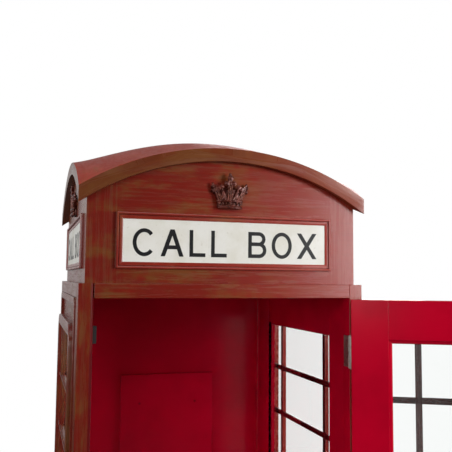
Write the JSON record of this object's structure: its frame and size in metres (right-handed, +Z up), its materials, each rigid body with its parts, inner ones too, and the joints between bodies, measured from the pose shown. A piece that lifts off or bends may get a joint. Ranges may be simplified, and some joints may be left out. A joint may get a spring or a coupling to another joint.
{
  "type": "telephone booth",
  "caption": "Red timber telephone booth with a shallow domed roof, arched pediments with lit signs, glazed side walls, a solid back and an outward-opening glazed door.",
  "frame": {"origin": "centre of the footprint on the ground", "axes": "+Z up, the doorway faces -Y, the door is hinged on the +X side"},
  "size_m": [1.5792, 1.3214, 2.4985],
  "materials": {
    "patina_red_paint": "dark red paint, brushed and rubbed back to ochre brown",
    "gloss_red_paint": "gloss crimson paint",
    "floor_ply": "stained plywood",
    "sign_opal": "aged opal white",
    "ornament_bronze": "dark brown with rubbed bright edges",
    "glass": "clear",
    "hinge_steel": "satin",
    "black_plastic": "matte",
    "handle_brass": "aged satin brass"
  },
  "bodies": {
    "booth": {"back_panel": "gloss_red_paint", "back_surround": "patina_red_paint", "base_plinth": "patina_red_paint", "ceiling_panel": "gloss_red_paint", "coronets": "ornament_bronze", "door_catch": "black_plastic", "fascia_back": "patina_red_paint", "fascia_front": "patina_red_paint", "fascia_left": "patina_red_paint", "fascia_right": "patina_red_paint", "floor_panel": "floor_ply", "glazing_bars_left": "patina_red_paint", "glazing_bars_right": "patina_red_paint", "hinge_pins": "hinge_steel", "hinge_post_leaves": "hinge_steel", "hinge_post_screws": "hinge_steel", "lintel_front": "patina_red_paint", "pediment_back": "patina_red_paint", "pediment_front": "patina_red_paint", "pediment_left": "patina_red_paint", "pediment_right": "patina_red_paint", "post_back_left": "patina_red_paint", "post_back_right": "patina_red_paint", "post_front_left": "patina_red_paint", "post_front_right": "patina_red_paint", "roof_skin": "patina_red_paint", "side_glazing_beads": "gloss_red_paint", "side_surround_left": "patina_red_paint", "side_surround_right": "patina_red_paint", "side_wall_left": "patina_red_paint", "side_wall_right": "patina_red_paint", "sign_frame_back": "patina_red_paint", "sign_frame_front": "patina_red_paint", "sign_frame_left": "patina_red_paint", "sign_frame_right": "patina_red_paint", "sign_panel_back": "sign_opal", "sign_panel_front": "sign_opal", "sign_panel_left": "sign_opal", "sign_panel_right": "sign_opal", "telephone_backboard": "gloss_red_paint", "threshold": "patina_red_paint", "top_rail_back": "patina_red_paint", "top_rail_left": "patina_red_paint", "top_rail_right": "patina_red_paint", "window_frame_left": "patina_red_paint", "window_frame_right": "patina_red_paint", "window_glass_left": "glass", "window_glass_right": "glass"},
    "door": {"door_hinge_stile": "gloss_red_paint", "door_latch_stile": "gloss_red_paint", "door_top_rail": "gloss_red_paint", "door_bottom_rail": "gloss_red_paint", "door_window_frame": "gloss_red_paint", "door_glazing_bars": "gloss_red_paint", "door_glass": "glass", "door_glazing_beads": "gloss_red_paint", "hinge_door_leaves": "hinge_steel", "door_screws": "hinge_steel", "door_handle": "handle_brass", "door_catch_plate": "hinge_steel"}
  },
  "joints": [
    {"name": "door_hinge", "type": "hinge", "parent": "booth", "child": "door", "pos_m": [0.4025, -0.457, 1.02], "axis": [0, 0, 1], "range_deg": [-153, 15]}
  ]
}
